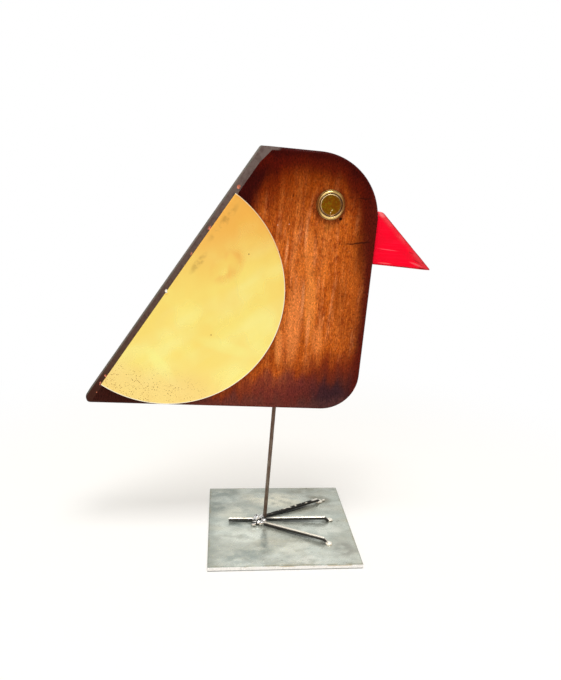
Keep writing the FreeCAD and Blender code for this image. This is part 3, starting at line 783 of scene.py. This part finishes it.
def enamel_paint(tree, place):
    """Red enamel with brush ridges, worn thin along the slope and dark at the tip, with a painted highlight at
    the root.
    """
    slope = (BEAK_TIP - BEAK_BROW).normalized()
    under = (BEAK_TIP - BEAK_ROOT_LOW).normalized()
    from_slope = past_line(tree, place, BEAK_BROW, Vector((slope.z, 0, -slope.x)))
    from_under = past_line(tree, place, BEAK_ROOT_LOW, Vector((-under.z, 0, under.x)))
    to_tip = add(tree, "VectorMath", (place, BEAK_TIP), 1, operation="DISTANCE")
    on_slope, at_edge = (from_slope, 1.2, 5.5), (from_slope, 0.2, 1.2)
    below, at_tip = (from_under, 0.2, 1.6), (to_tip, 5.0, 30.0)
    ridges = patches(tree, place, (34, 1.4, 1.0), 0.35, 0.7, 6.0, 2)
    thin = patches(tree, place, (9, 9, 6), 0.38, 0.62, 15.0, 4)
    lost = patches(tree, place, (1.8, 1.8, 1.4), 0.58, 0.66, 28.0, 3)
    ridge = mark(tree, place, (BREAST + 1, 132.2), (BREAST + 21, 131.0), 0.8)
    colour = coats(
        tree, "#fc0028",
        ("#ff1f40", 0.40, ridges),
        ("#ee0a2a", 0.60, thin),
        ("#d62634", 0.80, on_slope),
        ("#e24e54", 0.50, on_slope, thin),
        # painted highlight: pale pink at the top of the root
        ("#f07c80", 0.60, mark(tree, place, (BREAST - 1, 159.5), (BREAST + 8, 156.0), 6.0)),
        ("#c22a34", 0.60, at_tip, thin),
        ("#8a2018", 0.70, at_tip, lost),
        ("#ff7484", 0.45, ridge),
        ("#b01e26", 0.75, below),
        ("#ef8286", 0.45, mark(tree, place, (BREAST + 3, 121.4), (BREAST + 17, 120.9), 1.1)),
        ("#5a160e", 0.80, mark(tree, place, (BREAST + 21, 119.2), (BREAST + 32, 118.6), 1.3)),
        ("#7a1a16", 0.75, mark(tree, place, (BREAST + 35, 119.6), (BREAST + 46, 118.4), 1.0)),
        ("#a0161e", 0.65, mark(tree, place, (BREAST + 27, 131.4), (BREAST + 33, 129.4), 1.0)),
        ("#a0161e", 0.60, mark(tree, place, (BREAST + 31, 126.0), (BREAST + 39, 122.6), 1.1)),
        ("#f4767e", 0.45, mark(tree, place, (BREAST + 28, 124.0), (BREAST + 42, 119.6), 2.0)),
        ("#7c2b20", 0.65, at_edge),
        ("#5e1e14", 0.80, lost, at_edge),
        ("#7a1a16", 0.65, lost, at_tip, below),
    )
    relief = add(tree, "Math", (ridges, ridge), operation="ADD")
    normal = add(tree, "Bump", {"Height": relief, "Strength": 0.25, "Distance": 0.12 * MM})
    return {"Base Color": colour, "Roughness": 0.36, "Normal": normal, "IOR": 1.5, "Specular IOR Level": 0.04}


red_enamel = finish("red_enamel_brushed_on_wood", enamel_paint)

# %% [markdown]
# ## The beak
# Paint rounds every corner. A bevel on the CAD wedge would round them all alike, so the copy is remeshed
# finely, smoothed, and given slow dents of a tenth of a millimetre, as a whittled and painted wedge has.
# The weld on the foot is made in the same way further on, so this is a function.

# %% The beak
def remeshed(node, name, material, voxel, smoothing, dent, dent_size, seed):
    """A fine copy of a CAD node, pushed in and out by dent in waves of dent_size; voxel too is in mm."""
    made = copied(node, name, material)
    fine = made.modifiers.new("fine", "REMESH")
    fine.mode, fine.voxel_size = "VOXEL", voxel * MM
    soft = made.modifiers.new("soft", "SMOOTH")
    soft.factor, soft.iterations = 0.5, smoothing
    settle(made, 180)
    away = Vector((seed, 0, 0))
    pushes = [v.normal * noise.noise(v.co / (dent_size * MM) + away) * dent * MM for v in made.data.vertices]
    for vert, push in zip(made.data.vertices, pushes):
        vert.co += push
    return made


beak = remeshed("beak", "beak_painted", red_enamel, 0.40, 2, 0.10, 7.0, 5.0)
join_frame(beak, "bird", "painted_wood", "beak")

# %% [markdown]
# ## Hot-rolled plate
# The stand is cut from hot-rolled steel, whose mill scale is grey-green and mottled in clouds of a few
# centimetres, with dark flecks and scratches. The ground edges are bright bare metal, with a little rust at
# the arris. A clear wax gives the soft gloss in which the leg is mirrored, and a painted reflection of the leg
# lies below its foot. Painted reflection and shade darken the scale towards the right and the back.

# %% Stains on the plate
plate_low, plate_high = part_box("base_plate")
PLATE_HALF = (plate_high.x - plate_low.x) / 2 / MM
PLATE_TOP = plate_high.z
FOOT = Vector((SOCKET.x - SOCKET.z * math.tan(LEAN), SOCKET.y, PLATE_TOP)) / MM    # mm, the leg's root

# colour, strength, middle (x, y), half sizes and turn, in mm and degrees: where the scale is stained or
# rubbed, and where painted reflection and shade make it lighter or darker; the last is the leg's painted
# reflection
PLATE_BLOTS = (
    ("#e9e6d2", 0.85, (-2, 38), (34, 17), -8), ("#dcdccb", 0.60, (-36, 17), (24, 14), 10),
    ("#e2e6da", 0.75, (-30, -20), (26, 12), 0), ("#e0e3d6", 0.65, (10, -37), (26, 11), 12),
    ("#e6e7dc", 0.70, (18, -54), (22, 9), 4), ("#dfe1d6", 0.55, (40, -12), (18, 14), 30),
    ("#76827d", 0.60, (-46, 50), (20, 12), 10), ("#7d8680", 0.60, (-52, 28), (13, 16), 0),
    ("#87928d", 0.60, (-34, -1), (16, 8), 0), ("#84918d", 0.50, (-34, -46), (24, 12), 14),
    ("#9aa39a", 0.55, (-16, -40), (14, 10), 0), ("#7e7a67", 0.75, (40, 38), (16, 9), -24),
    ("#8b8a80", 0.60, (50, -40), (13, 15), 20), ("#807c68", 0.55, (28, 54), (22, 7), 6),
    ("#8a9691", 0.60, (-15, -27), (4.5, 19), -4),
)
# the same for the toes' painted shadows on the plate: one dark blot along each toe, blackest by the left one,
# which the torch burnt, and one round each claw
TOE_SHADOWS_AND_CLAW_RINGS = (
    ("#12100e", 0.95, (14.0, 20.4), (26.5, 3.0), 26), ("#2c2f2d", 0.80, (14.6, 2.5), (27.0, 2.6), -3.4),
    ("#2c2f2d", 0.80, (10.2, -16.2), (28.0, 2.6), -29.7), ("#3c403d", 0.70, (-28.7, 3.2), (15.0, 2.4), 0),
    ("#66665a", 0.70, (39.6, 0.4), (4.6, 3.8), 0), ("#66665a", 0.70, (33.6, -30.1), (4.6, 3.8), -30),
    ("#66665a", 0.70, (38.4, 32.2), (5.4, 3.8), 26),
)
RAGGED_OVER = 4                                  # mm: a blot whose half depth is more has a ragged edge
# the second count is of the toes' painted shadows and the rings round the claws
print(len(PLATE_BLOTS), "stains and", len(TOE_SHADOWS_AND_CLAW_RINGS), "blots of soot round a foot at", tuple(FOOT))

# %% [markdown]
# The mill scale itself is one base colour with clouds, flecks and scratches over it and painted reflection
# and shade, then the stains and the toes' painted shadows, then what belongs to the edge. The plate's sides get
# a bright ground finish of their own, chosen by which way the face looks, with a painted contact shadow along
# their foot.

# %% Mill scale
BLOT_THROUGH = 20.0                              # mm, well over the plate's thickness


def plate_paint(tree, place):
    """Waxed mill scale on top, with painted reflection and shade; ground steel on the sides, with a painted
    contact shadow at their foot.
    """
    level = add(tree, "Math", (looks_up(tree),), operation="ABSOLUTE")
    on_side = add(tree, "MapRange", (level, 0.3, 0.6, 1.0, 0.0))
    square = add(tree, "VectorMath", (place,), operation="ABSOLUTE")
    across = add(tree, "SeparateXYZ", (square,))
    reach = add(tree, "Math", (across, across.node.outputs[1]), operation="MAXIMUM")
    at_rim = (reach, PLATE_HALF - 0.2, PLATE_HALF - 2.6)
    turned_to = add(tree, "Mapping", (place, (0, 0, 0), (0, 0, math.radians(-62)), (1, 1, 1)))
    scratched = patches(tree, turned_to, (60, 0.6, 10), 0.66, 0.72, 77.0, 2)
    flecks = spots(tree, place, 12.0, 0.9, 0.30, 8.0)
    grit = patches(tree, place, (0.9, 0.9, 0.9), 0.42, 0.66, 1.0, 2)
    to_right, to_back, up = add(tree, "SeparateXYZ", (place,)).node.outputs
    colour = coats(
        tree, "#bdc1b6",
        ("#d8dfd6", 0.80, patches(tree, place, (36, 26, 30), 0.42, 0.62, 2.6, 4, 0.6)),
        ("#8b9a95", 0.34, patches(tree, place, (20, 14, 20), 0.44, 0.70, 9.1, 3, 0.6)),
        ("#bfb79d", 0.38, patches(tree, place, (40, 22, 30), 0.44, 0.70, 23.0, 3)),
        # painted reflection and shade: darker towards the right and the back
        ("#9b9988", 0.20, (to_right, 60.0, -10.0)),
        ("#96968a", 0.20, (to_back, 55.0, -5.0)),
        ("#8c938a", 0.55, (to_right, -60.0, -49.0)),
        ("#8c9189", 0.28, patches(tree, place, (9, 5, 5), 0.44, 0.68, 13.0, 4)),
        ("#dfe3dc", 0.35, scratched),
        ("#6b6b5f", 0.60, patches(tree, place, (6, 2.4, 3), 0.68, 0.74, 51.0, 4)),
        ("#3f433e", 0.85, flecks),
    )
    ragged = patches(tree, place, (9, 6, 6), 0.34, 0.58, 91.0, 4)
    # the stains and painted reflections, then the toes' painted shadows and the claw rings
    for tone, strength, middle, size, turn in PLATE_BLOTS + TOE_SHADOWS_AND_CLAW_RINGS:
        out = oval(tree, place, (*middle, PLATE_TOP / MM), (0, 0, math.radians(turn)), (*size, BLOT_THROUGH))
        edge = (ragged,) if size[1] > RAGGED_OVER else ()
        colour = coats(tree, colour, (tone, strength, (out, OVAL_WHOLE, OVAL_GONE), *edge))
    colour = coats(
        tree, colour,
        ("#9c8a58", 0.45, at_rim, patches(tree, place, (9, 9, 3), 0.46, 0.62, 19.0, 4)),
        ("#7d8377", 0.50, (reach, PLATE_HALF - 0.5, PLATE_HALF - 1.2)),
    )
    upper_edge = (up, PLATE_TOP / MM - 0.7, PLATE_TOP / MM - 1.4)
    bright = coats(tree, "#f4f2f0", ("#dcdad4", 0.25, patches(tree, place, (3, 3, 8), 0.40, 0.65, 4.0)),
                   ("#b09a66", 0.7, patches(tree, place, (8, 8, 3), 0.50, 0.60, 29.0), upper_edge),
                   # painted contact shadow along the foot of the sides
                   ("#3e4448", 0.9, (up, 0.5, 1.2)))
    colour = add(tree, "Mix", {0: on_side, 6: colour, 7: bright}, 2, data_type="RGBA")
    metal = add(tree, "MapRange", (on_side, 0.0, 1.0, 0.55, 0.25))
    rough = add(tree, "MapRange", (patches(tree, place, (7, 5, 5), 0.4, 0.66, 3.0), 0.0, 1.0, 0.22, 0.36))
    relief = add(tree, "Math", (grit, flecks), operation="SUBTRACT")
    normal = add(tree, "Bump", {"Height": relief, "Strength": 0.12, "Distance": 0.1 * MM})
    return {"Base Color": colour, "Metallic": metal, "Roughness": rough, "Normal": normal}


dress(finish("steel_plate_hot_rolled_and_waxed", plate_paint, in_board=False), "base_plate")

# %% [markdown]
# ## Drawn bar, rusted and bright
# The leg and the toes are one size of drawn steel bar. The leg has been handled and has rusted to a thin
# brown skin with darker spots, and painted shadow of the board darkens its top. The toes are still grey steel
# on top, where they were wiped. Their undersides are painted black as shade, their roots are black from the
# torch, and the claws are pale where they were ground.

# %% Drawn bar
def rusted_paint(tree, place):
    """A thin brown skin of rust, darker at the root, with painted shadow of the board darkening its top."""
    height = add(tree, "SeparateXYZ", (place,), 2)
    skin = patches(tree, place, (1.6, 1.6, 7), 0.38, 0.64, 3.0, 4)
    spotted = patches(tree, place, (0.9, 0.9, 1.6), 0.56, 0.66, 12.0, 3)
    colour = coats(
        tree, "#6c5d50", ("#5a4437", 0.9, skin),
        ("#8d857a", 0.6, patches(tree, place, (1.2, 1.2, 16), 0.50, 0.68, 30.0, 3)),
        # the first coat here is painted shadow of the board, darker towards the top
        ("#5c3d2a", 0.6, (height, 112.0, 55.0)), ("#45281a", 0.7, spotted),
        ("#3a2c24", 0.6, (height, 6.0, 14.0)),
    )
    rough = add(tree, "MapRange", (skin, 0.0, 1.0, 0.40, 0.62))
    relief = add(tree, "Math", (skin, spotted), operation="ADD")
    normal = add(tree, "Bump", {"Height": relief, "Strength": 0.4, "Distance": 0.08 * MM})
    return {"Base Color": colour, "Metallic": 0.45, "Roughness": rough, "Normal": normal}


def bright_paint(tree, place):
    """Grey steel on top, painted black shade below, black at the root, pale where the claw was ground."""
    # painted shade: the faces that look down are black
    below = add(tree, "MapRange", (looks_up(tree), 0.60, 0.84, 1.0, 0.0), **SOFT)
    from_foot = add(tree, "VectorMath", (place, FOOT), 1, operation="DISTANCE")
    dark = patches(tree, place, (5, 5, 5), 0.45, 0.65, 16.0, 3)
    aside = add(tree, "MapRange", (add(tree, "SeparateXYZ", (place,), 1), 7.0, 9.0))
    sooty = patches(tree, place, (4.4, 4.4, 1.2), 0.30, 0.42, 44.0, 2)
    colour = coats(
        tree, "#f0eada", ("#c2baa6", 0.4, dark),
        ("#b3966c", 0.3, patches(tree, place, (2, 2, 2), 0.5, 0.66, 6.0, 3)),
        ("#12100e", 0.98, aside, sooty), ("#141210", 0.92, (from_foot, 4.0, 13.0)),
        ("#f4efe2", 0.8, (from_foot, 52.5, 49.0)), ("#090808", 0.98, below),
    )
    metal = add(tree, "MapRange", (below, 0.0, 1.0, 0.85, 0.2))
    rough = add(tree, "MapRange", (dark, 0.0, 1.0, 0.36, 0.48))
    normal = add(tree, "Bump", {"Height": dark, "Strength": 0.15, "Distance": 0.05 * MM})
    return {"Base Color": colour, "Metallic": metal, "Roughness": rough, "Normal": normal}


bright_bar = finish("steel_bar_drawn_bright", bright_paint, in_board=False)
dress(finish("steel_bar_drawn_and_rusted", rusted_paint, in_board=False), "leg_rod")
dress(bright_bar, "toe_right", "toe_middle", "toe_left", "toe_rear")

# %% [markdown]
# ## Weld
# Weld metal freezes in rounded lumps. The CAD's beads are plain balls run together, so a fine copy is pushed
# in and out by lumps 3.8 mm apart. Fresh weld is the shiniest metal on the stand, so it mirrors the lamp and
# the dark room in sharp patches, with black scale in its hollows, and it is black round the leg from the torch
# and from painted shade.

# %% Weld
SOOT_AND_SHADE_ROOT = FOOT + Vector((1.6, -1.0, 1.2))     # mm, where the weld is black from the torch and from painted shade


def weld_paint(tree, place):
    """Shiny weld with black scale in its hollows, and black at the leg from the torch and from painted shade.
    """
    from_root = add(tree, "VectorMath", (place, SOOT_AND_SHADE_ROOT), 1, operation="DISTANCE")
    # black at the leg's root: torch-black and painted shade
    soot_and_shade = add(tree, "MapRange", (from_root, 3.2, 6.0, 1.0, 0.0), **SOFT)
    scale = patches(tree, place, (2.6, 2.6, 2.6), 0.52, 0.57, 9.0, 2)
    colour = coats(
        tree, "#e6e5e1", ("#b7aa94", 0.3, patches(tree, place, (3, 3, 3), 0.45, 0.65, 4.0)),
        ("#767c82", 0.6, patches(tree, place, (2.6, 2.6, 2.6), 0.50, 0.64, 18.0, 2)),
        ("#15120f", 0.90, scale), ("#0b0908", 0.92, soot_and_shade),
    )
    rough = add(tree, "MapRange", (soot_and_shade, 0.0, 1.0, 0.17, 0.55))
    return {"Base Color": colour, "Metallic": 1.0, "Roughness": rough}


weld_metal = finish("steel_weld_bead", weld_paint, in_board=False)
foot_weld = remeshed("foot_weld", "foot_weld_rippled", weld_metal, 0.20, 3, 0.55, 3.8, 3.0)
join_frame(foot_weld, "stand", "weld_metal", "foot_weld")

# %% [markdown]
# Each claw is tacked to the plate with one small bead, ground flat until it is a pale oval. The CAD has half
# a ball there. An oval lump of the right size is made at the same place, in line with its toe.

# %% Claw beads
BEAD, DROP = (3.1, 2.5, 1.9), (1.5, 1.2, 1.2)    # half length, half width and height, in mm
SIDE_OF_TOE = {"toe_right": 0.0, "toe_middle": 0.5, "toe_left": 1.0}    # where across its box the claw is


def claw_bead(work, toe, size, seed, ahead):
    """One flattened bead at the claw of a toe; size is its half length, half width and height in mm."""
    low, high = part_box(toe)
    far = Vector((high.x, low.lerp(high, SIDE_OF_TOE[toe]).y, 0)) / MM
    way = (far - FOOT) * Vector((1, 1, 0))
    way.normalize()
    centre = Vector((far.x, far.y, PLATE_TOP / MM + 0.1)) + way * ahead
    turn = Matrix.Rotation(math.atan2(way.y, way.x), 3, "Z")
    made = bmesh.ops.create_icosphere(work, subdivisions=4, radius=1.0)
    for vert in made["verts"]:
        rough = 1 + 0.14 * noise.noise(vert.co * 1.4 + Vector((seed, 0, 0)))
        point = turn @ Vector(c * s for c, s in zip(vert.co * rough, size)) + centre
        point.z = max(point.z, PLATE_TOP / MM + 0.01)
        vert.co = point * MM


def claw_paint(tree, place):
    """Pale ground metal, with painted shade where it turns under."""
    worn = patches(tree, place, (1.4, 1.4, 1.4), 0.42, 0.62, 5.0, 3)
    # painted shade: the faces that look down are dark
    below = (looks_up(tree), 0.05, 0.45)
    colour = coats(tree, "#f3efe2", ("#cfc8b4", 0.6, worn), ("#4a443a", 0.85, below))
    return {"Base Color": colour, "Metallic": 0.6, "Roughness": 0.34}


work = bmesh.new()
for index, (toe, ahead) in enumerate((("toe_right", 0.4), ("toe_middle", 0.4), ("toe_left", -1.4))):
    claw_bead(work, toe, BEAD, 4.0 * index, ahead)
claw_bead(work, "toe_left", DROP, 21.0, 3.6)     # it ran on past the bead
claw_beads = put_in_scene("claw_beads", meshed("claw_beads", work),
                          finish("steel_weld_ground_flat", claw_paint, in_board=False))
settle(claw_beads, 60)
join_frame(claw_beads, "stand", "weld_metal", "claw_welds")

# %% [markdown]
# ## Hidden fittings
# The sleeve, the ball, the pins and the dowel are inside the board. They show only when it is taken apart,
# but each still gets a finish of its own: plain drawn brass, a hardened ball, and dry beech.

# %% Hidden fittings
def plain(base, coat, size, metallic, roughness):
    """A base colour clouded with a second one, in patches of that size in mm."""
    def paint(tree, place):
        clouded = coats(tree, base, (coat, 1.0, patches(tree, place, size, 0.4, 0.65, 2.0)))
        return {"Base Color": clouded, "Metallic": metallic, "Roughness": roughness}
    return paint


dress(finish("brass_drawn_plain", plain("#c9a25c", "#a8803f", (2, 2, 9), 1.0, 0.35)),
      "socket_sleeve", "wing_pins_right", "wing_pins_left")
dress(finish("steel_ball_hardened", plain("#c8c8ca", "#aeb0b4", (1, 1, 1), 1.0, 0.12)), "thrust_ball")
dress(finish("beech_dowel_dry", plain("#cfa877", "#b98f5e", (12, 0.8, 0.8), 0.0, 0.7)), "beak_dowel")

# %% [markdown]
# ## Floor and light
# The bird stands on a plain white sweep in soft light: a wide lamp overhead and a little in front, a weak
# one further in front, and a pale room all round. The floor is white paper near the bird, so it takes a
# shadow, with about a third of plain white showing through, and turns to plain white further out, where it
# meets a white background.

# %% Floor
FLOOR_REACH = 3.0                    # metres each way
PAPER_NEAR, PAPER_FAR = 0.10, 0.50   # metres from the middle: mostly paper, all plain white
PAPER_LIT = 0.35                     # how much of the white shows through the paper near the bird

work = bmesh.new()
bmesh.ops.create_grid(work, x_segments=4, y_segments=4, size=FLOOR_REACH)
floor = put_in_scene("floor", meshed("floor", work), bpy.data.materials.new("white_paper_sweep"))
floor.data.materials[0].use_nodes = True
tree = floor.data.materials[0].node_tree
tree.nodes.clear()
out_from_middle = add(tree, "VectorMath", (add(tree, "TexCoord", output=3),), 1, operation="LENGTH")
far = add(tree, "MapRange", (out_from_middle, PAPER_NEAR, PAPER_FAR, PAPER_LIT, 1.0), **SOFT)
rays = add(tree, "LightPath").node.outputs
seen = add(tree, "Math", (rays["Is Camera Ray"], rays["Is Glossy Ray"]), operation="ADD")
seen = add(tree, "Math", (seen, rays["Is Transmission Ray"]), operation="ADD", use_clamp=True)
far = add(tree, "Math", (far, seen), operation="MULTIPLY")
paper = add(tree, "BsdfDiffuse", ("#fefcf8",))
glow = add(tree, "Emission", ("#ffffff", 1.0))
add(tree, "OutputMaterial", (add(tree, "MixShader", (far, paper, glow)),))
print("floor reaches", FLOOR_REACH, "m each way, all plain white beyond", PAPER_FAR, "m")

# %% [markdown]
# Polished metal needs something dark to mirror, or it looks like plaster. So the world is plain white for
# the camera and behind the bird, a warm dim room at eye level in front of it and beside it for mirrored
# light, and a soft, slightly warm fill for everything matt.

# %% Room
ROOM_FILL = 0.64           # brightness of the room on matt surfaces

world = bpy.data.worlds.new("pale_room")
bpy.context.scene.world = world
world.use_nodes = True
tree = world.node_tree
tree.nodes.clear()
way = add(tree, "SeparateXYZ", (add(tree, "TexCoord"),))
eye_level = add(tree, "MapRange", (way.node.outputs[2], 0.05, 0.45, 1.0, 0.0), **SOFT)
ahead = add(tree, "MapRange", (way.node.outputs[1], -0.25, 0.35, 1.0, 0.0), **SOFT)
dim = add(tree, "Math", (eye_level, ahead), operation="MULTIPLY")
mirrored = add(tree, "Mix", {0: dim, 6: "#ffffff", 7: "#efc18c"}, 2, data_type="RGBA")
rays = add(tree, "LightPath").node.outputs
glossy = add(tree, "Math", (rays["Is Glossy Ray"], rays["Is Transmission Ray"]), operation="MAXIMUM")
colour = add(tree, "Mix", {0: glossy, 6: "#fffbf3", 7: mirrored}, 2, data_type="RGBA")
colour = add(tree, "Mix", {0: rays["Is Camera Ray"], 6: colour, 7: "#ffffff"}, 2, data_type="RGBA")
seen = add(tree, "Math", (rays["Is Camera Ray"], glossy), operation="MAXIMUM")
strength = add(tree, "MapRange", (seen, 0.0, 1.0, ROOM_FILL, 1.0))
add(tree, "OutputWorld", (add(tree, "Background", (colour, strength)),))
print("room:", len(tree.nodes), "nodes, fill", ROOM_FILL)

# %% [markdown]
# The shadow under a thin leg tells how soft the light is. A large lamp gives a soft shadow and a broad
# highlight, so the main one is nearly half a metre wide and hangs over the bird. The other lifts the face of
# the board a little. Reckoned from their power and distance, the lamps together give the plate about four
# fifths of what the open room gives it, and the upright board less than half.

# %% Lamps
def lamp(name, place, aim, size, power):
    """A square soft lamp; place and aim in metres, power in watts."""
    light = bpy.data.lights.new(name, "AREA")
    light.shape, light.size, light.energy = "SQUARE", size, power
    made = bpy.data.objects.new(name, light)
    bpy.context.scene.collection.objects.link(made)
    made.location = place
    made.rotation_euler = (Vector(aim) - Vector(place)).to_track_quat("-Z", "Y").to_euler()
    print("lamp:", name, size, "m wide,", power, "W")


lamp("overhead", (0.03, -0.30, 1.25), (0, 0, 0.1), 0.42, 7.6)
lamp("front", (-0.7, -1.2, 0.9), (0, 0, 0.2), 0.8, 3.0)

# %% [markdown]
# ## Camera
# The view is from just below the crown, half a metre away, looking a little down.

# %% Camera
CAMERA_AT = (-0.0542, -0.4639, 0.2917)           # metres
YAW, PITCH, ROLL = (math.radians(a) for a in (5.97, 15.08, 2.48))
LENS = 32.49                                     # mm, on a sensor of the usual width

camera_data = bpy.data.cameras.new("camera")
camera_data.lens = LENS
camera = bpy.data.objects.new("camera", camera_data)
bpy.context.scene.collection.objects.link(camera)
look = Vector((math.sin(YAW) * math.cos(PITCH), math.cos(YAW) * math.cos(PITCH), -math.sin(PITCH)))
level = Vector((math.cos(YAW), -math.sin(YAW), 0))
upright = level.cross(look)
right = level * math.cos(ROLL) + upright * math.sin(ROLL)
top = upright * math.cos(ROLL) - level * math.sin(ROLL)
camera.matrix_world = Matrix.Translation(CAMERA_AT) @ Matrix((right, top, -look)).transposed().to_4x4()
bpy.context.scene.camera = camera
bpy.context.scene.view_settings.view_transform = "Standard"
print("camera at", CAMERA_AT, "with a lens of", LENS, "mm")
